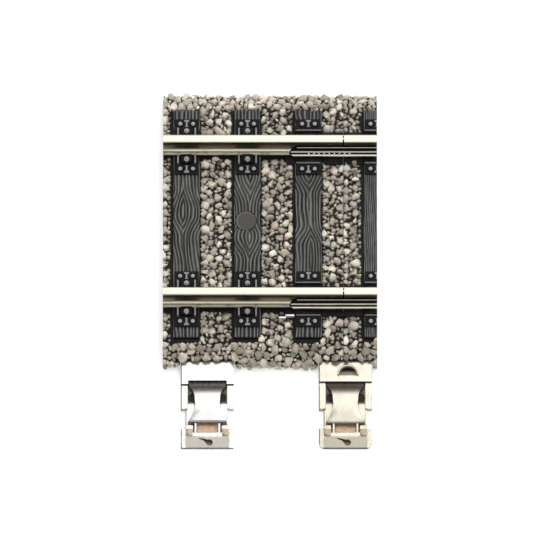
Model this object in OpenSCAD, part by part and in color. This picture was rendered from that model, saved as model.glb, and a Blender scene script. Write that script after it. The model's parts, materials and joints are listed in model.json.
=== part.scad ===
// Ballasted model railway track, shown where two sections meet, with two
// push-in feeder clips. X runs along the track, Z is up, and the origin is on
// the track's centre line, on the surface that the bed stands on, half-way
// along the two joined sections.

/* [Track] */
// Clear distance between the inner faces of the rail heads
gauge = 16.5; // [16.4:0.05:16.8]
// Length of the long section, from its free end to the joint
len_long = 19.27; // [18.8:0.1:21]
// Length of the short section, from the joint to its free end
len_short = 3.53; // [3.3:0.1:4.5]
// Gap between the two sections at the joint
joint_gap = 0.14; // [0.08:0.02:0.3]
// Distance between sleeper centres on the long section
sleeper_pitch = 6.53; // [6.4:0.05:6.7]
// Free end of the long section to its first sleeper's centre
first_sleeper = 2.53; // [2.2:0.05:2.8]

/* [Bed] */
// Half of the bed's width at its foot
bed_half = 15.4; // [14.6:0.1:17]
// Half of the bed's width at its shoulder
shoulder_half = 13.3; // [13.1:0.1:13.6]
// Height of the upright rim at the bed's foot
rim_h = 1.3; // [1.25:0.05:1.5]
// Height of the bed's flat top
bed_top = 2.8; // [2.7:0.05:2.9]
// Thickness of the bed's side walls
wall = 1.0; // [0.7:0.1:1.2]

/* [Sleepers] */
// Width of a sleeper
sleeper_w = 2.84; // [2.6:0.05:3]
// Length of a sleeper
sleeper_len = 25.86; // [25:0.1:26]
// Height of the sleepers' top face
sleeper_top = 3.0; // [2.95:0.05:3.1]

/* [Rails] */
// Height of the rail
rail_h = 2.5; // [2.3:0.05:2.7]
// Width of the rail head
head_w = 0.9; // [0.8:0.05:1]
// Width of the rail foot
foot_w = 2.1; // [2:0.05:2.2]

/* [Feeder clips] */
// Width of a clip
clip_w = 5.68; // [5:0.1:5.8]
// Sheet thickness of the clip frame and lever
sheet = 0.22; // [0.18:0.02:0.24]
// Height of the clip's upper leaf
leaf_top = 1.0; // [0.95:0.05:1.05]

/* [Hidden] */
$fn = 32;
over = 0.5; // how far a cutter runs past what it cuts
fine = 0.04; // clearance between parts that slide on each other

// Places along the track
x_left = -(len_long + joint_gap + len_short) / 2;
x_long_end = x_left + len_long;
x_short_start = x_long_end + joint_gap;
x_right = -x_left;
sleeper_x = [
    for (i = [0:2]) x_left + first_sleeper + i * sleeper_pitch,
    x_right,
];

// Heights, and the rails' distance from the centre line
rail_y = (gauge + head_w) / 2;
plate_h = 0.2; // thickness of the chairs' base plates
rail_z = sleeper_top + plate_h; // underside of the rail foot
deck_z = 1.5; // underside of the bed's deck
pocket_z = 1.78; // floor of the sleeper pockets
slack = 0.03; // play of a sleeper in its pocket

// Rail profile heights above the foot
foot_edge_h = 0.25;
foot_slope_h = 0.5;
head_under_h = 1.72;
head_side_h = 1.86;
web_half = 0.24;

// Rail joiners and the troughs that they lie in
joiner_start = x_long_end - 5.75;
trough_half = 1.78; // half the trough's width
trough_z = 2.62;
joiner_t = 0.18; // sheet thickness
joiner_z = rail_z - fine - joiner_t; // underside of the joiner

// Fixing hole in the second sleeper
hole_x = sleeper_x[1] - 0.14;
hole_y = 0.3;
hole_r = 0.7;
cap_r = 1.07;
cap_z = pocket_z + 0.02;

// Feeder clips: centres along the track, and places across it
clip_x = [-6.7, 8.07];
clip_half = clip_w / 2;
clip_tip = -24.65; // outer end
clip_bend = -9.6; // centre of the hairpin bend at the inner end
leaf_edge = [-17.62, -17.33]; // outer edge of each clip's upper leaf
leaf_notch = [0.4, 0]; // depth of the notch in that edge
slot_h = 1.1; // height of the clip slots under the bed's rim
slot_half = clip_half + 0.1;
box_half = 2.32; // half-width of the wire box
box_start = -20.6;
flange_z = 0.83; // underside of the box's top flanges
window_half = 1.14; // half the width of the window over the saddle
saddle_h = 0.14;
entry_r = 0.4; // radius of the wire's entry hole
lever_half = 2.04;
lever_pivot = [-16.9, 0.5]; // Y and Z of the lever's pivot
pocket_r = 0.93; // radius of clip 2's half-round pocket, and the width of its rim
pocket_rim = 0.22;
barrel_r = 0.22;

// Contact strips under the deck
strip_t = 0.18;
strip_half = 0.6;
strip_x = [-5.7, 0.5]; // where the far and the near strip rise to their rails
strip_z = deck_z - strip_t;
strip_step = -10.4; // where a strip steps down
strip_tip = -12.9; // its end, over the clip's leaf
leaf_gap = 0.03; // clearance over the leaf

// Extrudes a profile drawn as [Y, Z] from x0 to x1 along the track.
module along(x0, x1) {
    translate([x0, 0, 0]) rotate([90, 0, 90]) linear_extrude(x1 - x0) children();
}

// A box from one corner to the opposite one.
module block(low, high) {
    translate(low) cube(high - low);
}

// Points of an arc about c, from angle a0 to a1.
function arc(c, r, a0, a1, steps = 6) =
    [for (i = [0:steps]) c + r * [cos(a0 + (a1 - a0) * i / steps), sin(a0 + (a1 - a0) * i / steps)]];

function mirrored(points) = [for (i = [len(points) - 1:-1:0]) [-points[i][0], points[i][1]]];

// ---------------------------------------------------------------- bed

module bed_outline() {
    polygon([
        [-bed_half, 0], [-bed_half, rim_h], [-shoulder_half, bed_top],
        [shoulder_half, bed_top], [bed_half, rim_h], [bed_half, 0],
    ]);
}

module bed_hollow() {
    inner = bed_half - wall;
    polygon([
        [-inner, -over], [-inner, rim_h - 0.35], [-inner + 0.7, deck_z],
        [inner - 0.7, deck_z], [inner, rim_h - 0.35], [inner, -over],
    ]);
}

module sleeper_pocket(x) {
    half_w = sleeper_w / 2 + slack;
    half_len = sleeper_len / 2 + slack;
    block([x - half_w, -half_len, pocket_z - 0.01], [x + half_w, half_len, bed_top + over]);
}

module joiner_trough(x0) {
    for (side = [-1, 1])
        block([x0, side * rail_y - trough_half, trough_z],
              [x_right + over, side * rail_y + trough_half, bed_top + over]);
}

// The slots under the rim that the clips are pushed into.
module clip_slots() {
    for (x = clip_x)
        block([x - slot_half, -bed_half - over, -over],
              [x + slot_half, -bed_half + wall + 0.2, slot_h]);
}

// Openings in the deck for the risers of the contact strips.
module riser_slots() {
    for (i = [0, 1])
        let (y = (i == 0 ? 1 : -1) * rail_y)
            block([strip_x[i] - strip_half - 0.05, y - strip_t / 2 - 0.05, deck_z - over],
                  [strip_x[i] + strip_half + 0.05, y + strip_t / 2 + 0.05, bed_top + over]);
}

module bed_long() {
    rib_half = 0.6;
    cross_end = bed_half - wall + 0.1;
    color("dimgray") difference() {
        union() {
            difference() {
                along(x_left, x_long_end) bed_outline();
                along(x_left - over, x_long_end + over) bed_hollow();
            }
            // centre rib, which carries the section, and a cross rib under each sleeper
            block([x_left, -rib_half, 0], [x_long_end, rib_half, deck_z + 0.1]);
            for (i = [0:2])
                block([sleeper_x[i] - 0.4, -8.4, 0.6], [sleeper_x[i] + 0.4, cross_end, deck_z + 0.1]);
            translate([hole_x, hole_y, 0]) cylinder(h = deck_z + 0.1, r = 1.7);
        }
        for (i = [0:2]) sleeper_pocket(sleeper_x[i]);
        joiner_trough(joiner_start - 0.4);
        clip_slots();
        riser_slots();
        // ways for the two contact strips through the ribs
        block([strip_x[0] - strip_half - 0.05, -rib_half - over, strip_z - 0.1],
              [strip_x[0] + strip_half + 0.05, rib_half + over, deck_z]);
        block([sleeper_x[2] - 1, -rail_y - strip_half - 0.1, strip_z - 0.1],
              [sleeper_x[2] + 1, -8, deck_z]);
        translate([hole_x, hole_y, -over]) cylinder(h = 4, r = hole_r);
    }
}

module bed_short() {
    color("dimgray") difference() {
        union() {
            difference() {
                along(x_short_start, x_right) bed_outline();
                along(x_short_start - over, x_right + over) bed_hollow();
            }
            block([x_short_start, -0.6, 0], [x_right, 0.6, deck_z + 0.1]);
        }
        sleeper_pocket(sleeper_x[3]);
        joiner_trough(x_short_start - over);
        clip_slots();
    }
}

// ------------------------------------------------------------ sleepers

module sleeper_body(x0, x1, cut_end = false) {
    edge = 0.07;
    x1_top = cut_end ? x1 : x1 - edge;
    translate([0, sleeper_len / 2, 0]) rotate([90, 0, 0]) linear_extrude(sleeper_len)
        polygon([
            [x0, pocket_z], [x1, pocket_z], [x1, sleeper_top - edge], [x1_top, sleeper_top],
            [x0 + edge, sleeper_top], [x0, sleeper_top - edge],
        ]);
}

// Room in a sleeper beside the joint for the joiners' undersides.
module joiner_seats(x0, x1) {
    for (side = [-1, 1])
        block([x0 - over, side * rail_y - trough_half, joiner_z - 0.1],
              [x1 + over, side * rail_y + trough_half, sleeper_top + over]);
}

module sleeper(i) {
    x0 = sleeper_x[i] - sleeper_w / 2;
    x1 = min(sleeper_x[i] + sleeper_w / 2, x_right);
    color("darkslategray") difference() {
        sleeper_body(x0, x1, i == 3);
        if (i >= 2) joiner_seats(x0, x1);
        if (i == 1) translate([hole_x, hole_y, 0]) cylinder(h = 5, r = cap_r + 0.03);
    }
}

module fixing_hole_cap() {
    color("dimgray") translate([hole_x, hole_y, cap_z]) difference() {
        cylinder(h = sleeper_top - cap_z, r = cap_r);
        translate([0, 0, -over]) cylinder(h = over + 0.5, r = hole_r);
    }
}

// -------------------------------------------------------------- chairs

// Two coach screws on washers, with the plate's centre rib between them, on the
// outward half of a base plate; u is the distance outward from the rail.
module screw_group() {
    screw_u = 2.56;
    for (v = [-0.68, 0.68]) translate([v, screw_u, 0]) {
        cylinder(h = plate_h + 0.08, r = 0.36);
        cylinder(h = plate_h + 0.2, r = 0.25);
        cylinder(h = plate_h + 0.3, r = 0.17);
    }
    block([-0.12, 2.2, 0], [0.12, 2.8, plate_h + 0.14]);
    block([-0.26, 2.76, 0], [0.26, 3.02, plate_h + 0.14]);
}

// Two ribs, and between them a clamp plate over the rail foot with its bolt and nut.
module rail_clamp() {
    for (v = [-0.92, 0.92]) {
        block([v - 0.11, 1.1, 0], [v + 0.11, 2.0, plate_h + 0.55]);
        block([v - 0.11, 1.1, 0], [v + 0.11, 2.12, plate_h + 0.25]);
    }
    block([-0.62, 1.15, 0], [0.62, 1.95, plate_h + 0.3]);
    block([-0.62, 0.98, plate_h + 0.29], [0.62, 1.85, plate_h + 0.45]);
    translate([0, 1.6, 0]) {
        cylinder(h = plate_h + 0.68, r = 0.3, $fn = 6);
        cylinder(h = plate_h + 0.82, r = 0.15);
    }
}

// The chair of one rail seat: base plate, clamps and screws, moulded in one.
module chair(x, y) {
    plate_end = 3.15;
    translate([x, y, sleeper_top]) {
        block([-1.3, -plate_end, 0], [1.3, plate_end, plate_h]);
        for (side = [0, 1]) mirror([0, side, 0]) {
            screw_group();
            rail_clamp();
        }
    }
}

// At the joint a seat has only its two outer plates, clear of the joiner.
module joint_chair(x, y) {
    translate([x, y, sleeper_top])
        for (side = [0, 1]) mirror([0, side, 0]) {
            block([-1.3, trough_half, 0], [1.3, 3.15, plate_h]);
            block([-1.3, trough_half, 0], [1.3, trough_half + 0.16, plate_h + 0.12]);
            screw_group();
        }
}

module chairs_long(side) {
    color([0.1, 0.1, 0.1]) {
        for (i = [0, 1]) chair(sleeper_x[i], side * rail_y);
        joint_chair(sleeper_x[2], side * rail_y);
    }
}

module chairs_short(side) {
    color([0.1, 0.1, 0.1]) intersection() {
        joint_chair(sleeper_x[3], side * rail_y);
        block([0, -20, 0], [x_right, 20, 6]);
    }
}

// --------------------------------------------------------------- rails

module rail_profile() {
    head_half = head_w / 2;
    top_r = 0.13;
    half = concat(
        [[foot_w / 2, 0], [foot_w / 2, foot_edge_h], [web_half + 0.1, foot_slope_h]],
        arc([web_half + 0.22, foot_slope_h + 0.14], 0.22, 229, 180, 3),
        [[web_half, head_under_h], [head_half, head_side_h]],
        arc([head_half - top_r, rail_h - top_r], top_r, 0, 90, 4)
    );
    polygon(concat(half, mirrored(half)));
}

module rail(side, x0, x1) {
    color("silver") translate([0, side * rail_y, rail_z]) along(x0, x1) rail_profile();
}

// ------------------------------------------------------------- joiners

// Sheet that wraps the rail foot and rises beside the web as fishplates.
module joiner_profile() {
    t = joiner_t;
    side_out = foot_w / 2 + fine + t;
    side_in = foot_w / 2 + fine;
    low = -fine - t;
    // over the foot the sheet follows its slope, a clearance above it
    lip_z = foot_edge_h + fine + 0.02;
    plate_z = foot_slope_h + 0.16;
    plate_in = web_half + 0.1;
    plate_top = 1.12;
    half = [
        [side_out - 0.1, low], [side_out, low + 0.1], [side_out, lip_z + 0.1], [side_out - 0.1, lip_z + t],
        [plate_in + t + 0.08, plate_z + t - 0.04], [plate_in + t, plate_z + t + 0.06],
        [plate_in + t, plate_top - 0.05], [plate_in + t - 0.05, plate_top], [plate_in + 0.05, plate_top],
        [plate_in, plate_top - 0.05], [plate_in, plate_z], [side_in, lip_z], [side_in, -fine],
    ];
    polygon(concat(half, mirrored(half)));
}

module joiner(side) {
    color([0.16, 0.15, 0.14]) translate([0, side * rail_y, rail_z]) difference() {
        along(joiner_start, x_right) joiner_profile();
        // the fishplates start a little later than the part round the foot
        translate([joiner_start, 2, 0]) rotate([90, 0, 0]) linear_extrude(4)
            polygon([[-1, 0.25], [0, 0.25], [1.5, 1.56], [-1, 1.56]]);
        // seen from above the end narrows towards its tip
        for (s = [-1, 1])
            translate([joiner_start, s * 0.95, -over]) rotate([0, 0, s * 25])
                block([-1, s > 0 ? 0 : -2, -1], [3, s > 0 ? 2 : 0, 4]);
    }
}

// ------------------------------------------------------ contact strips

// The sprung end of a strip, stepped down from the deck to a clip's leaf.
module strip_leaf(x0, x1) {
    leaf_z = leaf_top + leaf_gap;
    block([x0, strip_step, leaf_z], [x1, strip_step + strip_t, deck_z]);
    block([x0, strip_tip, leaf_z], [x1, strip_step + strip_t, leaf_z + strip_t]);
}

// The upright end of a strip, which meets the underside of a rail's foot.
module strip_riser(x, y) {
    block([x - strip_half, y - strip_t / 2, strip_z], [x + strip_half, y + strip_t / 2, rail_z]);
}

// From the far rail, under the deck, to the leaf of clip 1.
module contact_strip_far() {
    x = strip_x[0];
    color("goldenrod") {
        strip_riser(x, rail_y);
        block([x - strip_half, strip_step, strip_z], [x + strip_half, rail_y + strip_t / 2, deck_z]);
        strip_leaf(x - strip_half, x + strip_half);
    }
}

// From the near rail, along under the deck, to the leaf of clip 2.
module contact_strip_near() {
    x = strip_x[1];
    x_leaf = [5.7, 6.9];
    y_far = -rail_y + strip_half;
    color("goldenrod") {
        strip_riser(x, -rail_y);
        block([x - strip_half, -rail_y - strip_half, strip_z], [x_leaf[1], y_far, deck_z]);
        block([x_leaf[0], strip_step, strip_z], [x_leaf[1], y_far, deck_z]);
        strip_leaf(x_leaf[0], x_leaf[1]);
    }
}

// -------------------------------------------------------- feeder clips

// A rectangle with round corners at its outer end, centred on X = 0.
module tongue_outline(half, y0, y1, r) {
    translate([-half, y0 + r]) square([2 * half, y1 - y0 - r]);
    translate([-half + r, y0]) square([2 * half - 2 * r, r + 0.01]);
    for (s = [-1, 1]) translate([s * (half - r), y0 + r]) circle(r);
}

// Hairpin of sheet: the base runs the clip's whole length, the leaf lies over it.
module clip_hairpin(corner_r, edge, notch) {
    linear_extrude(sheet) difference() {
        tongue_outline(clip_half, clip_tip, clip_bend, corner_r);
        // side notches beside the wire box
        for (s = [-1, 1]) translate([s * (clip_half + 0.02), -21.35]) square([1.1, 2.05], center = true);
    }
    difference() {
        block([-clip_half, edge, leaf_top - sheet], [clip_half, clip_bend, leaf_top]);
        if (notch > 0) block([-lever_half, edge - 1, 0], [lever_half, edge + notch, 2]);
        else pocket_place() translate([0, 0, -3]) half_round(pocket_r, 6);
    }
    intersection() {
        translate([-clip_half, clip_bend, leaf_top / 2]) rotate([0, 90, 0]) difference() {
            cylinder(h = clip_w, r = leaf_top / 2);
            translate([0, 0, -over]) cylinder(h = clip_w + 2 * over, r = leaf_top / 2 - sheet);
        }
        block([-clip_w, clip_bend, -1], [clip_w, 0, 2]);
    }
}

// Sloping end wall with the wire's entry hole.
module clip_end_wall() {
    wall_w = 2 * box_half;
    foot = [-24.6, 0.11];
    head = [-23.55, flange_z + 0.1];
    run = head - foot;
    pitch = atan2(run[1], run[0]);
    entry = [0.22, 0.74]; // the hole's place across and up the wall
    translate([0, foot[0], foot[1]]) rotate([pitch, 0, 0]) difference() {
        translate([-box_half, 0, -sheet / 2]) cube([wall_w, norm(run), sheet]);
        translate([entry[0], entry[1], -2]) cylinder(h = 4, r = entry_r);
    }
}

// Folds along both sides of the lever, then the box that holds the wire: cheeks, top
// flanges with lugs, and a bar.
module clip_box() {
    flange_top = flange_z + sheet;
    bar = [-23.6, -23.1]; // the bar across the box, outer and inner edge
    for (s = [0, 1]) mirror([s, 0, 0]) {
        block([lever_half + 0.08, -20.3, 0.1], [clip_half, -16.6, 0.72]);
        block([box_half - sheet, bar[0], 0.1], [box_half, box_start, flange_top]);
        block([window_half + 0.4, bar[0], flange_z], [box_half, -22.3, flange_top]);
        block([window_half + 0.4, -23.5, flange_z], [box_half, -22.95, flange_top + 0.16]);
        // fingers that clasp the saddle
        block([window_half + 0.02, bar[0], 0.1], [window_half + 0.24, -22.06, flange_z]);
    }
    block([-box_half, bar[0], flange_z], [box_half, bar[1], flange_top]);
}

// Half-round pocket pressed down into the leaf, and the raised rim round it that
// stops against the bed's rim.
module half_round(r, h) {
    intersection() {
        cylinder(h = h, r = r);
        block([-r - 1, 0, -1], [r + 1, r + 1, h + 1]);
    }
}
module pocket_place() {
    translate([0.27, -bed_half - 0.05 - pocket_r - pocket_rim, leaf_top]) children();
}
module stop_pocket() {
    pocket_place() {
        difference() {
            translate([0, 0, -0.1]) half_round(pocket_r + pocket_rim, 0.1 + 0.34);
            translate([0, -0.01, -1]) half_round(pocket_r, 3);
        }
        intersection() {
            translate([0, 0, -1]) half_round(pocket_r + 0.03, 2);
            along(-2, 2) polygon([[-0.1, 0], [-0.1, -sheet], [1, -0.38 - sheet], [1, -0.38]]);
        }
    }
}

module clip_frame(i) {
    corner_r = [0.15, 0.65];
    color("gainsboro") translate([clip_x[i], 0, 0]) {
        difference() {
            clip_hairpin(corner_r[i], leaf_edge[i], leaf_notch[i]);
            // shallow recess in the base, under the lever's waist
            block([-lever_half, -19.35, 0.1], [lever_half, -18.45, 0.5]);
        }
        clip_box();
        clip_end_wall();
        if (i == 1) stop_pocket();
    }
}

// Copper pad that the bared wire is pressed on.
module clip_saddle(i) {
    color("peru") translate([clip_x[i], 0, 0])
        block([-window_half, -22.85, sheet], [window_half, -21.2, sheet + saddle_h]);
}

// Side view of the lever as [Y, Z]: flat out of its rolled end, a rise, then a
// slightly bowed top that slopes down towards the saddle.
function lever_line() = concat(
    [lever_pivot, [-17.35, lever_pivot[1]]],
    arc([-17.45, 1.2], 0.7, 262, 228, 3),
    arc([-19.0, -0.32], 1.72, 62, 90, 4),
    arc([-19.6, -6.9], 8.3, 92, 106, 5)
);

module lever_strip() {
    path = lever_line();
    last = len(path) - 1;
    // unit normals along the path, pointing up
    function slope(i) = path[min(i + 1, last)] - path[max(i - 1, 0)];
    function up(i) = [slope(i)[1], -slope(i)[0]] / norm(slope(i));
    half_t = sheet / 2;
    polygon(concat(
        [for (i = [0:last]) path[i] + up(i) * half_t],
        [for (i = [last:-1:0]) path[i] - up(i) * half_t]
    ));
}

module clip_lever(i) {
    lip = lever_line()[len(lever_line()) - 1];
    half = lever_half - 0.04;
    waist_r = 3.46;
    waist_half = 1.32;
    waist_y = -19.75;
    color("gainsboro") translate([clip_x[i], 0, 0]) {
        translate([-half, lever_pivot[0], lever_pivot[1]])
            rotate([0, 90, 0]) cylinder(h = 2 * half, r = barrel_r);
        difference() {
            union() {
                along(-half, half) lever_strip();
                // lip turned down over the saddle
                block([-half, lip[0] - 0.09, 0.85], [half, lip[0] + 0.17, lip[1]]);
            }
            for (s = [-1, 1])
                translate([s * (waist_half + waist_r), waist_y, -1]) cylinder(h = 4, r = waist_r, $fn = 96);
        }
    }
}

bed_long();
bed_short();
sleeper(0);  // sleeper_1
sleeper(1);  // sleeper_2
sleeper(2);  // sleeper_3
sleeper(3);  // sleeper_4
chairs_long(1);  // chairs_far_long
chairs_long(-1);  // chairs_near_long
chairs_short(1);  // chairs_far_short
chairs_short(-1);  // chairs_near_short
rail(1, x_left, x_long_end);  // rail_far_long
rail(-1, x_left, x_long_end);  // rail_near_long
rail(1, x_short_start, x_right);  // rail_far_short
rail(-1, x_short_start, x_right);  // rail_near_short
joiner(1);  // joiner_far
joiner(-1);  // joiner_near
contact_strip_far();
contact_strip_near();
fixing_hole_cap();
clip_frame(0);  // clip_frame_1
clip_lever(0);  // clip_lever_1
clip_saddle(0);  // clip_saddle_1
clip_frame(1);  // clip_frame_2
clip_lever(1);  // clip_lever_2
clip_saddle(1);  // clip_saddle_2
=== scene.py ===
import json
import math
import random

import bmesh
import bpy
import numpy as np
from mathutils import Matrix, Vector, noise

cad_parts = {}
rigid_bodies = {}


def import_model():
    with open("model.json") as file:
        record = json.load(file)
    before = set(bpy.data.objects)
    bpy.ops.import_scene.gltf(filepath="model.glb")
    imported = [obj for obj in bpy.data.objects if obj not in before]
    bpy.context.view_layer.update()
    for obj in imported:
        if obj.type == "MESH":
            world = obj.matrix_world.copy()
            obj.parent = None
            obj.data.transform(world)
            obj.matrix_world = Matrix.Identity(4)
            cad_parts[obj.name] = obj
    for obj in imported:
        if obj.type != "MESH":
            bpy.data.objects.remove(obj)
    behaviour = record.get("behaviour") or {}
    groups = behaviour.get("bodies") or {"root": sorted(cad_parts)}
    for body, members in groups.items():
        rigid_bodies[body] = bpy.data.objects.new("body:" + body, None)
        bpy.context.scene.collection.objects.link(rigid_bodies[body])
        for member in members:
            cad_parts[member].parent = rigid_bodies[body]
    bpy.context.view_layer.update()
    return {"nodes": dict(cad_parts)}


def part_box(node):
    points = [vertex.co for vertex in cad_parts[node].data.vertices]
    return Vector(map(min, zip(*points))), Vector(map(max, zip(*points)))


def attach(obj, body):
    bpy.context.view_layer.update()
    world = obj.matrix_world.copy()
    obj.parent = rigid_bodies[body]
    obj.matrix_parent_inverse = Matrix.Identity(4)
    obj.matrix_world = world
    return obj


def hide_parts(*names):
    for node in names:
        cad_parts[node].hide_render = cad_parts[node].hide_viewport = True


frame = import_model()

# ---------------------------------------------------------------- studio
# A white table top under soft light that falls mostly from behind the track, with a
# weak card in front. A long lens looks down from high above, so that the two rails
# stay parallel.
mm = 0.001
aim = Vector((0, -4.22, 0)) * mm
camera_tilt = math.radians(69.7)
lens = 1500
sensor = 36
seen_width = 57.9 * mm


def put_in_scene(name, data):
    """A new object in the scene, at the origin."""
    made = bpy.data.objects.new(name, data)
    bpy.context.scene.collection.objects.link(made)
    return made


def finish_mesh(name, form):
    """Turns a bmesh into a mesh, and lets the bmesh go."""
    mesh = bpy.data.meshes.new(name)
    form.to_mesh(mesh)
    form.free()
    return mesh


camera = put_in_scene("camera", bpy.data.cameras.new("camera"))
camera.data.lens = lens
camera.data.sensor_width = sensor
camera.data.clip_start = 10 * mm
camera.data.clip_end = 20
distance = seen_width * lens / sensor
camera.location = aim + distance * Vector((0, -math.cos(camera_tilt), math.sin(camera_tilt)))
camera.rotation_euler = (math.pi / 2 - camera_tilt, 0, 0)
bpy.context.scene.camera = camera


def hang_light(name, place, size, watts):
    """A square soft light at place, in millimetres, that faces the track."""
    light = bpy.data.lights.new(name, "AREA")
    light.size = size * mm
    light.energy = watts
    lamp = put_in_scene(name, light)
    lamp.location = Vector(place) * mm
    lamp.rotation_euler = (-lamp.location).to_track_quat("-Z", "Y").to_euler()


hang_light("window", (50, 125, 260), 300, 0.68)
hang_light("card", (20, -75, 285), 150, 0.12)
world = bpy.data.worlds.new("room")
world.use_nodes = True
world.node_tree.nodes["Background"].inputs["Color"].default_value = (1, 0.99, 0.97, 1)
world.node_tree.nodes["Background"].inputs["Strength"].default_value = 0.7
bpy.context.scene.world = world
bpy.context.scene.view_settings.view_transform = "Standard"

floor_form = bmesh.new()
bmesh.ops.create_grid(floor_form, x_segments=2, y_segments=2, size=1.5)
bmesh.ops.translate(floor_form, verts=floor_form.verts, vec=(0, 0, -0.02 * mm))
floor = put_in_scene("table_top", finish_mesh("table_top", floor_form))


class Shade:
    """One value on its way through a material's nodes. Arithmetic on it adds Math nodes."""

    def __init__(self, tree, socket=None):
        self.tree = tree
        self.socket = socket

    def node(self, kind, settings=None, inputs=None, out=0):
        """Adds a node: its settings first, then what goes into its sockets."""
        made = self.tree.nodes.new("ShaderNode" + kind)
        for name, value in (settings or {}).items():
            if name == "stops":
                while len(made.color_ramp.elements) < len(value):
                    made.color_ramp.elements.new(1)
                for element, (place, colour) in zip(made.color_ramp.elements, value):
                    element.position = place
                    element.color = (*colour, 1)
            else:
                setattr(made, name, value)
        for name, value in (inputs or {}).items():
            if isinstance(value, Shade):
                self.tree.links.new(value.socket, made.inputs[name])
            elif made.inputs[name].type == "RGBA":
                made.inputs[name].default_value = (*value, 1)
            else:
                made.inputs[name].default_value = value
        return Shade(self.tree, made.outputs[out])

    def math(self, operation, *values):
        return self.node("Math", {"operation": operation}, dict(enumerate(values)))

    def __add__(self, other):
        return self.math("ADD", self, other)

    def __sub__(self, other):
        return self.math("SUBTRACT", self, other)

    def __rsub__(self, other):
        return self.math("SUBTRACT", other, self)

    def __mul__(self, other):
        return self.math("MULTIPLY", self, other)

    __radd__ = __add__
    __rmul__ = __mul__

    def __abs__(self):
        return self.math("ABSOLUTE", self)

    def between(self, low, high):
        """0 where the value is at low, 1 where it is at high, and soft at both ends."""
        inputs = {"Value": self, "From Min": low, "From Max": high}
        return self.node("MapRange", {"interpolation_type": "SMOOTHSTEP"}, inputs)

    def within(self, start, full, fading, end):
        """0 up to start, 1 from full to fading, and 0 again from end on."""
        return self.between(start, full) * (1 - self.between(fading, end))

    def mix(self, first, second):
        """A colour from first, where the value is 0, to second, where it is 1."""
        return self.node("Mix", {"data_type": "RGBA"}, {0: self, 6: first, 7: second}, 2)

    def ramp(self, *stops):
        return self.node("ValToRGB", {"stops": stops}, {"Fac": self})

    def noise(self, scale, detail=3, rough=0.5):
        """Noise with scale lumps to each unit of this vector."""
        inputs = {"Vector": self, "Scale": scale, "Detail": detail, "Roughness": rough}
        return self.node("TexNoise", {}, inputs)

    def stretch(self, *factors):
        return self.node("Mapping", {}, {"Vector": self, "Scale": factors})

    def axis(self, name):
        return self.node("SeparateXYZ", {}, {0: self}, "XYZ".index(name))

    def attribute(self, name, out="Fac"):
        return self.node("Attribute", {"attribute_name": name}, {}, out)


def start_material(name):
    """A new material, and the place on the piece in millimetres."""
    material = bpy.data.materials.new(name)
    material.use_nodes = True
    place = Shade(material.node_tree).node("TexCoord", out="Object")
    return material, place.stretch(1000, 1000, 1000)


def set_surface(material, sockets, height=None, depth=0.02):
    """Sets or links the shader's sockets; height, if given, is a bump depth mm deep."""
    shader = material.node_tree.nodes["Principled BSDF"]
    if height is not None:
        inputs = {"Height": height, "Distance": depth * mm, "Strength": 1}
        sockets = {**sockets, "Normal": height.node("Bump", {}, inputs)}
    for name, value in sockets.items():
        if isinstance(value, Shade):
            material.node_tree.links.new(value.socket, shader.inputs[name])
        else:
            shader.inputs[name].default_value = value


table_material, place = start_material("table_top_white")
dust = place.noise(0.08, 2)
set_surface(table_material, {
    "Base Color": dust.mix((0.90, 0.895, 0.885), (0.93, 0.925, 0.915)),
    "Roughness": 0.7,
    "Emission Color": (1, 1, 1, 1),
    "Emission Strength": 0.3,
})
floor.data.materials.append(table_material)

# ---------------------------------------------------------------- bed
# The bed of each section is one moulding of brown-grey plastic, hollow and ribbed
# underneath. Its stones stand out of a floor that lies lower than their tops.
sections = {"long": "track_long", "short": "track_short"}
crevice = 0.36 * mm
joint_lip = 0.063 * mm
section_ends = [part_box(f"bed_{section}") for section in sections]
joint_faces = (section_ends[0][1].x, section_ends[1][0].x)


def merged_copy(node):
    """A CAD node's mesh with its loose triangles joined and its flat faces made whole."""
    form = bmesh.new()
    form.from_mesh(frame["nodes"][node].data)
    bmesh.ops.remove_doubles(form, verts=form.verts, dist=0.0005 * mm)
    edges = [e for e in form.edges if e.is_manifold and e.calc_face_angle() < math.radians(0.5)]
    bmesh.ops.dissolve_edges(form, edges=edges, use_verts=False)
    corners = [v for v in form.verts if len(v.link_edges) == 2
               and v.calc_edge_angle(0) < math.radians(0.5)]
    bmesh.ops.dissolve_verts(form, verts=corners)
    return form


def add_piece(name, form, body, slot, materials, *nodes, smooth=None):
    """Turns a bmesh into a piece that rides on a body and stands for some CAD nodes."""
    for face in form.faces:
        face.smooth = face.smooth if smooth is None else smooth
    piece = put_in_scene(name, finish_mesh(name, form))
    for material in materials:
        piece.data.materials.append(material)
    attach(piece, body)
    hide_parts(*nodes)
    return piece


bed_material, place = start_material("bed_plastic")
blotches = place.noise(0.7, 4)
grit = place.noise(9, 3, 0.7)
set_surface(bed_material, {
    "Base Color": (blotches * 0.7 + grit * 0.3).ramp(
        (0.3, (0.004, 0.0034, 0.003)), (0.55, (0.009, 0.008, 0.007)), (0.8, (0.026, 0.023, 0.02))),
    "Roughness": grit.between(0.2, 0.9) * 0.25 + 0.6,
    "Specular IOR Level": 0.2,
}, grit, 0.03)

for section, body in sections.items():
    node = f"bed_{section}"
    low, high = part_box(node)
    form = merged_copy(node)
    for vertex in form.verts:
        if vertex.co.z > high.z - 0.05 * mm:
            vertex.co.z -= crevice
        if abs(vertex.co.y) > high.y - 0.05 * mm:
            vertex.co.y -= math.copysign(crevice, vertex.co.y)
        if abs(vertex.co.x - joint_faces[0]) < 0.01 * mm:
            vertex.co.x += joint_lip
        if abs(vertex.co.x - joint_faces[1]) < 0.01 * mm:
            vertex.co.x -= joint_lip
    add_piece(f"bed_{section}_shell", form, body, "ballast", [bed_material], node)

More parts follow.
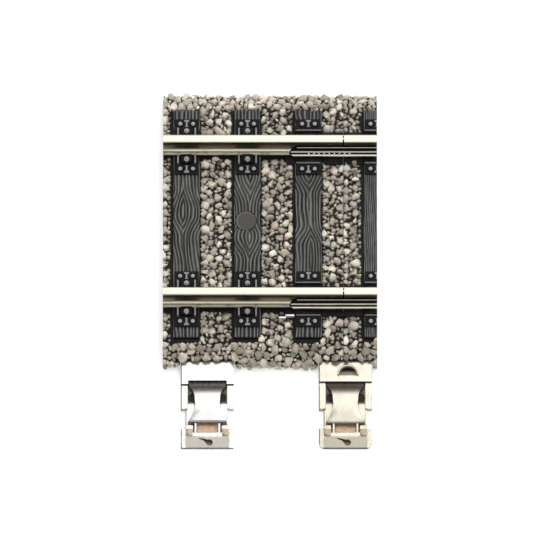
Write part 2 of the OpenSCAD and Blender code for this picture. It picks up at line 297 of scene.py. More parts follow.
# ---------------------------------------------------------------- ballast
# Broken stone in beige, grey, pinkish and olive tones, each piece about a
# millimetre across, cut off clean at the section's ends and at the joint.
_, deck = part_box("bed_long")
deck_z = deck.z
foot_y = deck.y
rim_z = 1.3 * mm
shoulder_y = 13.3 * mm
sleepers = [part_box(f"sleeper_{i + 1}") for i in range(4)]
clips = [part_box(f"clip_frame_{i + 1}") for i in range(2)]
rail_low, rail_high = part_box("rail_near_long")
rail_y = -(rail_low.y + rail_high.y) / 2
rail_bare = 1.22 * mm
trough_half = 1.78 * mm
trough_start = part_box("joiner_near")[0].x - 0.4 * mm
tag_x = (0.85 * mm, 2.7 * mm)
tag_y = (-10.85 * mm, -10.35 * mm)
slot_top = 1.12 * mm
slot_side = 0.1 * mm
slot_bare = slot_side + 0.3 * mm
ditch = 0.24 * mm
near_end_gap = 0.45 * mm
far_end_gap = 0.12 * mm
near_reach = 0.1 * mm
stone_kinds = 12
# The larger stones and the chips between them: how far apart, smallest and largest
# radius, seed, and from how low to how high over the deck their tops may stand.
stone_sizes = (
    (0.90, 0.46, 0.68, 3, (0.08, 0.36)),
    (0.44, 0.25, 0.35, 8, (-0.12, 0.10)),
)


def stone_form(dice):
    """One stone of radius 1: the hull of some points on a ball, its shallow edges soft."""
    form = bmesh.new()
    for _ in range(21):
        point = Vector([dice.gauss(0, 1) for _ in range(3)]).normalized()
        form.verts.new(point * dice.uniform(0.88, 1.0))
    bmesh.ops.convex_hull(form, input=form.verts)
    bmesh.ops.delete(form, geom=[v for v in form.verts if not v.link_faces], context="VERTS")
    for edge in form.edges:
        edge.smooth = edge.calc_face_angle() < math.radians(44)
    return form


dice = random.Random(5)
heap = bpy.data.collections.new("stone_heap")
bpy.context.scene.collection.children.link(heap)
for i in range(stone_kinds):
    mesh = finish_mesh(f"stone_{i}", stone_form(dice))
    heap.objects.link(bpy.data.objects.new(f"stone_{i}", mesh))


class Tree:
    """A Geometry Nodes tree in the making, with named inputs."""

    def __init__(self, name, inputs):
        self.group = bpy.data.node_groups.new(name, "GeometryNodeTree")
        face = self.group.interface
        face.new_socket("Geometry", in_out="OUTPUT", socket_type="NodeSocketGeometry")
        self.names = {}
        for label, kind in {"Geometry": "Geometry", **inputs}.items():
            made = face.new_socket(label, in_out="INPUT", socket_type="NodeSocket" + kind)
            self.names[label] = made.identifier
        self.start = self.group.nodes.new("NodeGroupInput")
        self.end = self.group.nodes.new("NodeGroupOutput")

    def node(self, kind, settings=None, inputs=None):
        """Adds a node; an input is a number, or a (node, output name) pair."""
        made = self.group.nodes.new(kind)
        for name, value in (settings or {}).items():
            setattr(made, name, value)
        for name, value in (inputs or {}).items():
            socket = next(s for s in made.inputs if s.name == name and s.enabled)
            if isinstance(value, tuple) and hasattr(value[0], "outputs"):
                self.link(*value, socket)
            else:
                socket.default_value = value
        return made

    def link(self, node, output, socket):
        source = next(s for s in node.outputs if s.name == output and s.enabled)
        self.group.links.new(source, socket)

    def pick(self, kind, low, high, seed):
        """A random value from low to high, another for each thing that is set out."""
        inputs = {"Min": low, "Max": high, "Seed": seed}
        return self.node("FunctionNodeRandomValue", {"data_type": kind}, inputs), "Value"

    def store(self, kind, geometry, label, value):
        """Keeps a value on every instance under a label, and returns the instances."""
        settings = {"data_type": kind, "domain": "INSTANCE"}
        inputs = {"Geometry": geometry, "Name": label, "Value": value}
        return self.node("GeometryNodeStoreNamedAttribute", settings, inputs), "Geometry"

    def finish(self, node, output, material):
        """Every tree ends the same way: its instances made real, and their material set."""
        real = self.node("GeometryNodeRealizeInstances", {}, {"Geometry": (node, output)})
        painted = self.node("GeometryNodeSetMaterial", {},
                            {"Geometry": (real, "Geometry"), "Material": (self.start, material)})
        self.link(painted, "Geometry", self.end.inputs[0])

    def run(self, mesh, **values):
        """Runs the tree on a mesh and returns the plain mesh that comes out."""
        carrier = put_in_scene("carrier", mesh)
        modifier = carrier.modifiers.new("tree", "NODES")
        modifier.node_group = self.group
        for label, value in values.items():
            modifier[self.names[label]] = value
        graph = bpy.context.evaluated_depsgraph_get()
        made = bpy.data.meshes.new_from_object(carrier.evaluated_get(graph), depsgraph=graph)
        carrier.modifiers.clear()
        bpy.data.objects.remove(carrier)
        bpy.data.meshes.remove(mesh)
        return made


laying = Tree("lay_stones", {
    "Stones": "Collection", "Spacing": "Float", "Smallest": "Float", "Largest": "Float",
    "Seed": "Int", "Finish": "Material",
})
points = laying.node("GeometryNodeDistributePointsOnFaces", {"distribute_method": "POISSON"}, {
    "Mesh": (laying.start, "Geometry"), "Distance Min": (laying.start, "Spacing"),
    "Density Max": 9e7, "Seed": (laying.start, "Seed"),
})
heap_info = laying.node("GeometryNodeCollectionInfo", {}, {
    "Collection": (laying.start, "Stones"), "Separate Children": True, "Reset Children": True,
})
turn = laying.pick("FLOAT_VECTOR", (0, 0, 0), (math.tau,) * 3, 1)
shape = laying.pick("FLOAT_VECTOR", (0.8, 0.7, 0.6), (1.25, 1.1, 0.95), 2)
size = laying.pick("FLOAT", (laying.start, "Smallest"), (laying.start, "Largest"), 3)
which = laying.pick("INT", 0, stone_kinds - 1, 4)
scale = laying.node("ShaderNodeVectorMath", {"operation": "SCALE"}, {"Vector": shape, "Scale": size})
spread = laying.node("GeometryNodeInstanceOnPoints", {}, {
    "Points": (points, "Points"), "Instance": (heap_info, "Instances"), "Pick Instance": True,
    "Instance Index": which, "Rotation": turn, "Scale": (scale, "Vector"),
})
spread = laying.store("FLOAT", (spread, "Instances"), "tone", laying.pick("FLOAT", 0.0, 1.0, 5))
spread = laying.store("FLOAT", spread, "hue", laying.pick("FLOAT", 0.0, 1.0, 6))
number = laying.node("GeometryNodeInputIndex")
spread = laying.store("INT", spread, "stone", (number, "Index"))
laying.finish(*spread, "Finish")


def is_bare(x, y, z):
    """Where no stone lies: on a sleeper, at a rail or its joiner, on a tag, in a clip's slot."""
    for low, high in sleepers:
        if low.x - ditch < x < high.x and low.y - near_end_gap < y < high.y + far_end_gap:
            return True
    if abs(abs(y) - rail_y) < (trough_half if x > trough_start else rail_bare):
        return True
    if tag_x[0] < x < tag_x[1] and tag_y[0] < y < tag_y[1]:
        return True
    for low, high in clips:
        if low.x - slot_bare < x < high.x + slot_bare and y < 0 and z < slot_top + 0.3 * mm:
            return abs(y) > shoulder_y
    return False


def laying_surface(x0, x1):
    """The sunken top of a bed from x0 to x1, in small squares, less its bare places."""
    step = 0.25 * mm
    sunk_y = foot_y - crevice
    near_y = foot_y - near_reach
    corners = [(-near_y, 0.3 * mm), (-near_y, rim_z - 0.1 * mm), (-shoulder_y, deck_z - crevice),
               (shoulder_y, deck_z - crevice), (sunk_y, rim_z), (sunk_y, 0.25 * mm)]
    profile = []
    for (y0, z0), (y1, z1) in zip(corners, corners[1:]):
        count = max(1, round(math.hypot(y1 - y0, z1 - z0) / step))
        profile += [(y0 + (y1 - y0) * i / count, z0 + (z1 - z0) * i / count) for i in range(count)]
    profile.append(corners[-1])
    count = round((x1 - x0) / step)
    form = bmesh.new()
    rows = [[form.verts.new((x0 + (x1 - x0) * i / count, y, z)) for y, z in profile]
            for i in range(count + 1)]
    for row, after in zip(rows, rows[1:]):
        for a, b, c, d in zip(row, after, after[1:], row[1:]):
            middle = (a.co + c.co) / 2
            if not is_bare(*middle):
                form.faces.new((a, b, c, d))
    return finish_mesh("laying_surface", form)


def room_for(centre, rise):
    """The box that a stone has to stay in, so that it clears its neighbours."""
    low = Vector((-1, -1, 0.01 * mm))
    high = Vector((1, 1, deck_z + rise))
    side = abs(centre.y)
    for before, after in sleepers:
        if side < after.y:
            if centre.x < before.x:
                high.x = min(high.x, before.x - ditch)
            if centre.x > after.x:
                low.x = max(low.x, after.x + 0.02 * mm)
        elif before.x - ditch < centre.x < after.x:
            if centre.y > 0:
                low.y = after.y + 0.05 * mm
            else:
                high.y = before.y - near_end_gap
    bare = trough_half if centre.x > trough_start else rail_bare
    if abs(side - rail_y) < bare:
        high.x = min(high.x, trough_start)
        bare = rail_bare
    near, far = rail_y - bare, rail_y + bare
    for start, end in ((-1, -far), (-near, near), (far, 1)):
        if start < centre.y < end:
            low.y = max(low.y, start)
            high.y = min(high.y, end)
    for before, after in clips:
        if centre.y < -shoulder_y and centre.z < rim_z + 0.9 * mm:
            if before.x - slot_side < centre.x < after.x + slot_side:
                low.z = slot_top
            elif centre.z < slot_top + 0.2 * mm and centre.x < before.x:
                high.x = min(high.x, before.x - slot_side)
            elif centre.z < slot_top + 0.2 * mm and before.x < centre.x:
                low.x = max(low.x, after.x + slot_side)
    return low, high


def fit_stones(mesh, dice, rises):
    """Moves and squeezes each stone into its room, and notes how far its points stand out."""
    count = len(mesh.vertices)
    places = np.zeros(count * 3, np.float32)
    mesh.vertices.foreach_get("co", places)
    places = places.reshape(-1, 3).astype(float)
    stones = np.zeros(count, np.int32)
    mesh.attributes["stone"].data.foreach_get("value", stones)
    order = np.argsort(stones, kind="stable")
    for members in np.split(order, np.flatnonzero(np.diff(stones[order])) + 1):
        own = places[members]
        centre = own.mean(0)
        room = room_for(Vector(centre), dice.uniform(*rises) * mm)
        for axis, (low, high) in enumerate(zip(*room)):
            middle = centre[axis]
            offset = own[:, axis] - middle
            for sign, limit in ((1, high), (-1, low)):
                reach = (offset * sign).max()
                over = middle * sign + reach - limit * sign
                if over > 0:
                    middle -= sign * min(over, 0.7 * reach)
                    left = max((limit - middle) * sign, 0.02 * mm)
                    offset = np.where(offset * sign > 0, offset * min(1, left / reach), offset)
            own[:, axis] = middle + offset
        places[members] = own
    mesh.vertices.foreach_set("co", places.astype(np.float32).ravel())
    side, top = np.abs(places[:, 1]), places[:, 2]
    run, fall = foot_y - shoulder_y, deck_z - rim_z
    slope = ((side - shoulder_y) * fall + (top - deck_z) * run) / math.hypot(run, fall)
    proud = np.maximum(np.maximum(top - deck_z, slope), side - foot_y - 0.05 * mm) / mm
    mesh.attributes.new("proud", "FLOAT", "POINT").data.foreach_set("value", proud.astype(np.float32))
    mesh.attributes.remove(mesh.attributes["stone"])


def slice_off(form, spot, away):
    """Cuts off everything past a plane, which faces away, and closes the cut."""
    geometry = form.verts[:] + form.edges[:] + form.faces[:]
    bmesh.ops.bisect_plane(form, geom=geometry, plane_co=spot, plane_no=away, clear_outer=True,
                           dist=0.0001 * mm)
    bmesh.ops.holes_fill(form, edges=[e for e in form.edges if e.is_boundary], sides=0)


def cut_clean(form, x0, x1):
    """Cuts everything off beyond x0 and x1."""
    slice_off(form, (x0, 0, 0), (-1, 0, 0))
    slice_off(form, (x1, 0, 0), (1, 0, 0))


stone_material, place = start_material("ballast_stone")
tone = place.attribute("tone")
hue = place.attribute("hue")
proud = place.attribute("proud")
grain = place.noise(7, 4, 0.65)
patch = place.noise(1.6, 2)
rock = hue.ramp(
    (0.0, (0.43, 0.37, 0.29)), (0.25, (0.47, 0.43, 0.36)), (0.42, (0.40, 0.385, 0.35)),
    (0.6, (0.45, 0.38, 0.33)), (0.78, (0.38, 0.36, 0.27)), (1.0, (0.55, 0.52, 0.46)))
# The near slope of the ballast is painted darker, as shade.
near_slope_shade = 1 - place.axis("Y").between(-14.0, -13.2)
light = tone * 0.5 + grain * 0.8 + patch * 0.35 - near_slope_shade * 0.15 - 0.325
# Points that lie low between the stones are painted near black: a dark wash, and painted shade in the
# crevices.
wash_and_crevice_shade = 1 - proud.between(-0.42, 0.03)
shading = light.ramp(
    (0.12, (0.5, 0.49, 0.485)), (0.5, (1.1, 1.095, 1.09)), (0.88, (2.0, 2.0, 2.03)))
multiply = {"data_type": "RGBA", "blend_type": "MULTIPLY"}
stone_colour = light.node("Mix", multiply, {0: 1.0, 6: rock, 7: shading}, 2)
set_surface(stone_material, {
    "Base Color": wash_and_crevice_shade.mix(stone_colour, (0.010, 0.0085, 0.007)),
    "Roughness": grain * 0.3 + 0.5,
}, grain * 0.7 + patch * 0.3, 0.08)

for section, body in sections.items():
    low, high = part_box(f"bed_{section}")
    dice = random.Random(11)
    form = bmesh.new()
    for spacing, smallest, largest, seed, rises in stone_sizes:
        mesh = laying.run(
            laying_surface(low.x, high.x), Stones=heap, Spacing=spacing * mm, Smallest=smallest * mm,
            Largest=largest * mm, Seed=seed, Finish=stone_material)
        fit_stones(mesh, dice, rises)
        form.from_mesh(mesh)
        bpy.data.meshes.remove(mesh)
    start = low.x - joint_lip if low.x == joint_faces[1] else low.x
    end = high.x + joint_lip if high.x == joint_faces[0] else high.x
    cut_clean(form, start, end)
    add_piece(f"ballast_{section}", form, body, "ballast", [stone_material], smooth=True)
for stone in list(heap.objects):
    bpy.data.objects.remove(stone)
bpy.data.collections.remove(heap)

# ---------------------------------------------------------------- sleepers
# Dark grey plastic sleepers with wood grain moulded into the top: ridges along
# the sleeper that part and meet in pointed figures, different on each one.
sleeper_top = sleepers[0][1].z
sleeper_half = 1.42
edge_round = 0.09 * mm
grid_across = 0.042 * mm
grid_along = 0.2 * mm
cap_low, cap_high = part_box("fixing_hole_cap")
cap_centre = (cap_low + cap_high) / 2
cap_radius = (cap_high.x - cap_low.x) / 2
cap_sides = 64
# For each sleeper: ridge spacing, ridge height, middle line, how far the middle line
# wanders from one end of a stretch to the other, and the stretches over which the
# ridges part (or close up, if negative) by a number of ridges on their way along.
grain_figures = (
    (0.36, 0.12, -0.10, (-5.6, -1.5, -0.45), ((-1.6, 1.0, 2.4), (1.6, 4.2, -2.0), (9.0, 12.0, 1.2))),
    (0.34, 0.12, 0.0, (-12, 12, 0.1), ((1.7, 5.8, 3.4), (-1.4, 0.2, -1.4), (-4.2, -1.6, 2.6))),
    (0.37, 0.12, 0.10, (-4.0, 2.0, -0.15), ((3.2, 6.0, 2.6), (-2.6, -0.1, -2.4), (9.5, 12.5, 2.0))),
    (0.20, 0.05, 0.40, (-12, 12, 0.1), ((-9.0, 9.0, 0.8),)),
)


def ease(value, start, end):
    """0 before start, 1 after end, and a smooth change between them."""
    share = min(1, max(0, (value - start) / (end - start)))
    return share * share * (3 - 2 * share)


def grain_at(x, y, figure, seed):
    """How high the grain stands at a place on a sleeper, from 0 in a groove to 1."""
    spacing, _, middle, (bend_from, bend_to, bend), stretches = figure
    drift = noise.noise((seed * 7.3, y * 0.12, x * 0.25)) * 0.3 + bend * ease(y, bend_from, bend_to)
    across = x - middle - drift
    ridges = math.sqrt(across * across + 0.02) / spacing
    if across < 0:
        ridges += 0.35
    for start, end, parted in stretches:
        ridges -= parted * ease(y, start, end)
    ridges += noise.noise((x * 1.2, y * 0.35, seed * 3.1)) * 0.5
    wave = 0.5 + 0.5 * math.cos(math.tau * ridges)
    strength = 0.75 + 0.55 * noise.noise((math.floor(ridges + 0.5) * 2.7, y * 0.16, seed))
    fine = 0.2 * noise.noise((x * 16, y * 1.1, seed * 5.0))
    return min(1, max(0, 1 - (1 - wave ** 1.1) * strength + fine))


def rounding(gap, radius):
    """How far a rounded edge has dropped at a distance gap in from it."""
    return radius - math.sqrt(max(0, radius ** 2 - max(0, radius - gap) ** 2))


def new_form(*names):
    """An empty bmesh whose points can carry values of these names."""
    form = bmesh.new()
    for name in names:
        form.verts.layers.float.new(name)
    return form


def mark(form, name, vertices, value):
    """Stores a value on some of a bmesh's points."""
    layer = form.verts.layers.float[name]
    for vertex in vertices:
        vertex[layer] = value


def divide(start, end, step):
    """Places from start to end: close together at the rounded edges, a step apart between."""
    edge = (0, 0.01 * mm, 0.03 * mm, 0.06 * mm)
    run = end - start - 0.2 * mm
    count = round(run / step)
    inner = [start + 0.1 * mm + run * i / count for i in range(count + 1)]
    return [start + e for e in edge] + inner + [end - e for e in reversed(edge)]


def sleeper_form(low, high, figure, seed, cut_end):
    """A closed sleeper: a finely divided top with grain, and plain sides and bottom."""
    centre = low.x + sleeper_half * mm
    ys = divide(low.y, high.y, grid_along)
    form = new_form("grain")
    layer = form.verts.layers.float["grain"]
    grid = []
    for x in divide(low.x, high.x, grid_across):
        grid.append([])
        for y in ys:
            height = grain_at((x - centre) / mm, y / mm, figure, seed)
            right = edge_round if cut_end else high.x - x
            drop = rounding(x - low.x, edge_round) + rounding(right, edge_round)
            drop += rounding(y - low.y, edge_round) + rounding(high.y - y, edge_round)
            z = high.z - drop - (1 - height) * figure[1] * mm
            vertex = form.verts.new((x, y, z))
            vertex[layer] = height
            grid[-1].append(vertex)
    for row, after in zip(grid, grid[1:]):
        for a, b, c, d in zip(row, after, after[1:], row[1:]):
            form.faces.new((a, b, c, d)).smooth = True
    rim = [e for e in form.edges if e.is_boundary]
    skirt = bmesh.ops.extrude_edge_only(form, edges=rim)
    for vertex in skirt["geom"]:
        if isinstance(vertex, bmesh.types.BMVert):
            vertex.co.z = low.z
            vertex[layer] = 0.3
    bmesh.ops.holes_fill(form, edges=[e for e in form.edges if e.is_boundary], sides=0)
    bmesh.ops.recalc_face_normals(form, faces=form.faces)
    return form


def block(form, low, high):
    """Adds a plain box, from its lowest to its highest corner."""
    low, high = Vector(low), Vector(high)
    made = bmesh.ops.create_cube(form, size=1)["verts"]
    bmesh.ops.scale(form, verts=made, vec=high - low)
    bmesh.ops.translate(form, verts=made, vec=(low + high) / 2)
    return made


def carve(form, cutter):
    """Takes the space that a second bmesh holds out of the first, and returns what is left."""
    kept = [put_in_scene("carving", finish_mesh("carving", part)) for part in (form, cutter)]
    modifier = kept[0].modifiers.new("carve", "BOOLEAN")
    modifier.solver = "EXACT"
    modifier.object = kept[1]
    graph = bpy.context.evaluated_depsgraph_get()
    carved = bpy.data.meshes.new_from_object(kept[0].evaluated_get(graph), depsgraph=graph)
    form = bmesh.new()
    form.from_mesh(carved)
    for made in kept:
        mesh = made.data
        bpy.data.objects.remove(made)
        bpy.data.meshes.remove(mesh)
    bpy.data.meshes.remove(carved)
    return form


sleeper_material, place = start_material("sleeper_plastic")
grain = place.attribute("grain")
fibre = place.stretch(9, 0.8, 9).noise(1, 4, 0.6)
bloom = place.stretch(1, 0.35, 1).noise(0.9, 3)
speck = place.noise(14, 2, 0.8)
# Below the grained top the sleeper's sides are painted near black, as shade.
top_over_shaded_sides = place.axis("Z").between(sleeper_top / mm - 0.45, sleeper_top / mm - 0.15)
ridge = grain * 0.8 + fibre * 0.3 + bloom * 0.25 - 0.2
plastic = ridge.ramp((0.15, (0.004, 0.0038, 0.0036)), (0.45, (0.025, 0.0245, 0.024)),
                     (0.7, (0.075, 0.074, 0.072)), (0.95, (0.19, 0.188, 0.185)))
set_surface(sleeper_material, {
    "Base Color": top_over_shaded_sides.mix((0.006, 0.0055, 0.0055), plastic),
    "Roughness": speck * 0.2 + 0.55,
    "Specular IOR Level": 0.22,
}, fibre * 0.7 + speck * 0.3, 0.03)

for i, (low, high) in enumerate(sleepers):
    short = i == 3
    form = sleeper_form(low, high, grain_figures[i], i + 1, short)
    cutter = bmesh.new()
    if i == 1:
        bmesh.ops.create_cone(cutter, cap_ends=True, segments=cap_sides, depth=6 * mm,
                              radius1=cap_radius + 0.03 * mm, radius2=cap_radius + 0.03 * mm)
        bmesh.ops.translate(cutter, verts=cutter.verts, vec=(cap_centre.x, cap_centre.y, 4.0 * mm))
    if i > 1:
        for side in (-1, 1):
            block(cutter, (low.x - mm, side * rail_y - trough_half, sleeper_top - 0.12 * mm),
                  (high.x + mm, side * rail_y + trough_half, sleeper_top + mm))
    if len(cutter.verts):
        form = carve(form, cutter)
    body = "track_short" if short else "track_long"
    add_piece(f"sleeper_{i + 1}_grained", form, body, "sleeper", [sleeper_material],
              f"sleeper_{i + 1}", smooth=True)

# ---------------------------------------------------------------- fixing hole cap
# A round cap that closes the hole for the fixing screw in the second sleeper. It
# stands a hair proud, with a narrow turned-down edge.
cap_material, place = start_material("cap_plastic")
scuff = place.noise(6, 4, 0.7)
# A light colour is mixed in where the edge carries its painted highlight.
set_surface(cap_material, {
    "Base Color": place.attribute("rubbed").mix(
        scuff.ramp((0.3, (0.044, 0.043, 0.041)), (0.7, (0.066, 0.064, 0.062))), (0.22, 0.21, 0.18)),
    "Roughness": scuff * 0.25 + 0.5,
    "Specular IOR Level": 0.22,
}, scuff, 0.015)
form = new_form("rubbed")
# (share of the radius, height over the sleeper) from the flat top out and down the side
outline = ((0.55, 0.06), (0.86, 0.05), (0.93, 0.0), (0.98, -0.03), (1.0, -0.09), (1.0, -1.2))
turns = [math.tau * k / cap_sides for k in range(cap_sides)]
rings = []
for share, rise in outline:
    rings.append([form.verts.new((
        cap_centre.x + math.cos(turn) * cap_radius * share,
        cap_centre.y + math.sin(turn) * cap_radius * share,
        max(cap_low.z, cap_high.z + rise * mm))) for turn in turns])
form.faces.new(rings[0])
for inner, outer in zip(rings, rings[1:]):
    for k in range(cap_sides):
        form.faces.new((inner[k - 1], outer[k - 1], outer[k], inner[k]))
form.faces.new(list(reversed(rings[-1])))
# The edge ring is painted light, strongest towards the upper left, as a highlight.
for turn, *edge in zip(turns, rings[2], rings[3]):
    mark(form, "rubbed", edge, 0.55 + 0.45 * math.cos(turn - math.radians(150)))
bmesh.ops.recalc_face_normals(form, faces=form.faces)
add_piece("fixing_hole_cap_domed", form, "cap", "sleeper", [cap_material], "fixing_hole_cap",
          smooth=False)

# ---------------------------------------------------------------- chairs
# Ribbed base plates with clamps, hexagon nuts and round-headed coach screws, all
# of one black plastic moulding for each rail. At the joint only the outer ends of
# the plates are there, to leave room for the joiner.
chair_half = 1.3
chair_end = 3.15
plate_z = sleeper_top / mm
plate_top = plate_z + 0.2
screw_across = 2.56
screw_along = 0.68
nut_across = 1.6


def turned(outline, sides, twist=0):
    """A closed round or many-sided solid from (radius, height) pairs, bottom first."""
    form = bmesh.new()
    rings = [[form.verts.new((
        math.cos(math.tau * k / sides + twist) * radius * mm,
        math.sin(math.tau * k / sides + twist) * radius * mm,
        height * mm)) for k in range(sides)] for radius, height in outline]
    for lower, upper in zip(rings, rings[1:]):
        for k in range(sides):
            form.faces.new((lower[k - 1], lower[k], upper[k], upper[k - 1]))
    form.faces.new(reversed(rings[0]))
    form.faces.new(rings[-1])
    return form


def merge(form, other):
    """Moves everything in a second bmesh into the first."""
    mesh = finish_mesh("merging", other)
    form.from_mesh(mesh)
    bpy.data.meshes.remove(mesh)


def pattern(name, form, *others):
    """An object to be set out many times, of one or more bmeshes."""
    for other in others:
        merge(form, other)
    return put_in_scene(name, finish_mesh(name, form))


screw_outline = (
    (0.34, -0.05), (0.34, 0.05), (0.31, 0.08), (0.23, 0.08), (0.22, 0.17), (0.19, 0.23),
    (0.12, 0.27), (0.04, 0.285),
)
coach_screw = pattern("coach_screw", turned(screw_outline, 20))
nut = pattern(
    "nut", turned(((0.3, -0.05), (0.3, 0.42), (0.26, 0.47)), 6, 0.4),
    turned(((0.15, 0.4), (0.15, 0.59), (0.12, 0.62)), 14))

setting = Tree("set_out", {"Pattern": "Object", "Finish": "Material"})
spots = setting.node("GeometryNodeMeshToPoints", {}, {"Mesh": (setting.start, "Geometry")})
picked = setting.node("GeometryNodeObjectInfo", {}, {"Object": (setting.start, "Pattern")})
placed = setting.node("GeometryNodeInstanceOnPoints", {}, {
    "Points": (spots, "Points"), "Instance": (picked, "Geometry"),
})
setting.finish(placed, "Instances", "Finish")


def set_out(form, places, chosen, material):
    """Adds the pattern to a bmesh at every place, given in millimetres."""
    mesh = bpy.data.meshes.new("places")
    mesh.from_pydata([Vector(place) * mm for place in places], [], [])
    mesh = setting.run(mesh, Pattern=chosen, Finish=material)
    form.from_mesh(mesh)
    bpy.data.meshes.remove(mesh)


def soft_block(form, low, high, edge=0.03):
    """Adds a box, in millimetres, with its edges rounded, and returns its points."""
    made = block(form, Vector(low) * mm, Vector(high) * mm)
    edges = list({e for v in made for e in v.link_edges})
    soft = bmesh.ops.bevel(form, geom=edges, offset=edge * mm, segments=2, profile=0.5, affect="EDGES")
    return soft["verts"]


chair_material, place = start_material("chair_plastic")
worn = place.noise(5, 4, 0.7)
rubbed = place.attribute("rubbed")
# Black plastic, painted light by each part's marked value: painted highlights, with some wear.
set_surface(chair_material, {
    "Base Color": (worn * 0.5 + rubbed * 0.62).ramp(
        (0.25, (0.0015, 0.0015, 0.0015)), (0.42, (0.004, 0.004, 0.004)), (0.88, (0.34, 0.335, 0.33))),
    "Roughness": worn * 0.2 + 0.42,
    "Specular IOR Level": 0.12,
}, worn, 0.02)
# The boxes of one half of a seat: from (along, outwards, up) to (along, outwards, up),
# and how far the plastic is painted light, as highlights with some wear.
seat_boxes = [
    (-chair_half, 0, plate_z, chair_half, chair_end, plate_top, 0),
    (-0.6, 1.15, plate_z, 0.6, 1.95, plate_top + 0.3, 0),
    (-0.58, 1.0, plate_top + 0.29, 0.58, 1.85, plate_top + 0.42, 0.1),
]
for rib in (-0.92, 0.92):
    seat_boxes.append((rib - 0.09, 1.1, plate_z, rib + 0.09, 2.0, plate_top + 0.5, 0.75))
    seat_boxes.append((rib - 0.09, 1.2, plate_z, rib + 0.09, 2.12, plate_top + 0.24, 0.4))
joint_boxes = [
    (-chair_half, 1.79, plate_z, chair_half, chair_end, plate_top, 0),
    (-chair_half, 1.79, plate_z, chair_half, 1.93, plate_top + 0.13, 0.6),
]
boss_boxes = [
    (-0.1, 2.2, plate_z, 0.1, 2.84, plate_top + 0.16, 0.75),
    (-0.26, 2.8, plate_z, 0.26, 3.02, plate_top + 0.16, 0.75),
    (-0.18, 2.2, plate_z, 0.18, 2.34, plate_top + 0.14, 0.5),
]
for (section, body), (start, end) in zip(sections.items(), section_ends):
    for side_name, side in (("far", 1), ("near", -1)):
        form = new_form("rubbed")
        screws, nuts = [], []
        for i, (low, high) in enumerate(sleepers):
            if (i == 3) != (section == "short"):
                continue
            x, y = low.x / mm + sleeper_half, side * rail_y / mm
            boxes = boss_boxes + (joint_boxes if i > 1 else seat_boxes)
            for way in (-1, 1):
                for left, inner, bottom, right, outer, top, light in boxes:
                    y0, y1 = sorted((y + way * inner, y + way * outer))
                    made = soft_block(form, (x + left, y0, bottom), (x + right, y1, top))
                    mark(form, "rubbed", made, light)
                screws += [(x - screw_along, y + way * screw_across, plate_top)]
                screws += [(x + screw_along, y + way * screw_across, plate_top)]
                if i < 2:
                    nuts.append((x, y + way * nut_across, plate_top + 0.2))
        before = set(form.verts)
        set_out(form, screws, coach_screw, chair_material)
        if nuts:
            set_out(form, nuts, nut, chair_material)
        # The heads of the screws and nuts are painted light, as highlights.
        heads = [v for v in form.verts if v not in before and v.co.z > (plate_top + 0.1) * mm]
        mark(form, "rubbed", heads, 0.95)
        cut_clean(form, start.x, end.x)
        node = f"chairs_{side_name}_{section}"
        add_piece(node + "_moulded", form, body, "chairs", [chair_material], node)
for made in (coach_screw, nut):
    bpy.data.objects.remove(made)

# ---------------------------------------------------------------- rails
# Drawn nickel-silver rail: the head polished by wheels, the web tan in painted shade
# that deepens under the head and over the sleepers, and painted highlight lines where the web runs out
# into the foot.
rail_foot = rail_low.z / mm
rail_top = rail_high.z / mm
# (across, up, corner radius), from the foot's underside to the middle of the head
rail_half = ((1.05, 0, 0.03), (1.05, 0.25, 0.05), (0.3, 0.52, 0.2), (0.24, 1.72, 0.12),
             (0.45, 1.86, 0.04), (0.45, 2.5, 0.13))


def rounded(corners, steps=5):
    """The points of a closed outline of (across, up, radius) corners, in millimetres."""
    points = []
    for before, corner, after in zip(corners[-1:] + corners[:-1], corners, corners[1:] + corners[:1]):
        middle, radius = Vector(corner[:2]), corner[2]
        to_start = (Vector(before[:2]) - middle).normalized()
        to_end = (Vector(after[:2]) - middle).normalized()
        half = to_start.angle(to_end) / 2
        centre = middle + (to_start + to_end).normalized() * radius / math.sin(half)
        first = middle + to_start * radius / math.tan(half) - centre
        swing = (math.pi - 2 * half) / steps
        if to_start.cross(to_end) > 0:
            swing = -swing
        for i in range(steps + 1):
            cosine, sine = math.cos(swing * i), math.sin(swing * i)
            turned_x = first.x * cosine - first.y * sine
            turned_y = first.x * sine + first.y * cosine
            points.append(centre + Vector((turned_x, turned_y)))
    return points


def skin(form, rings):
    """Adds a closed solid through rings of points, in millimetres."""
    rings = [[form.verts.new(Vector(point) * mm) for point in ring] for ring in rings]
    made = []
    for ring, after in zip(rings, rings[1:]):
        for k in range(len(ring)):
            made.append(form.faces.new((ring[k - 1], ring[k], after[k], after[k - 1])))
    made.append(form.faces.new(rings[0]))
    made.append(form.faces.new(list(reversed(rings[-1]))))
    bmesh.ops.recalc_face_normals(form, faces=made)
    return rings


def draw_bar(form, outline, centre, stations):
    """Draws an outline, (across, up) in millimetres, along X through the stations."""
    placed = [(centre[0] + across, centre[1] + up) for across, up in outline]
    return skin(form, [[(x, y, z) for y, z in placed] for x in stations])


def mark_sharp(form, degrees):
    """Shades the faces smooth, but for the wide flat ones, and keeps sharp edges crisp."""
    for face in form.faces:
        face.smooth = face.calc_area() < 0.5 * mm ** 2
    for edge in form.edges:
        edge.smooth = edge.is_manifold and edge.calc_face_angle() < math.radians(degrees)


rail_material, place = start_material("nickel_silver_rail")
drawn = place.stretch(0.25, 14, 14).noise(1, 4, 0.6)
stain = place.stretch(0.8, 1, 1.5).noise(0.9, 4, 0.6)
height = (place.axis("Z") - rail_foot + (stain - 0.5) * 0.035) * (1 / (rail_top - rail_foot))
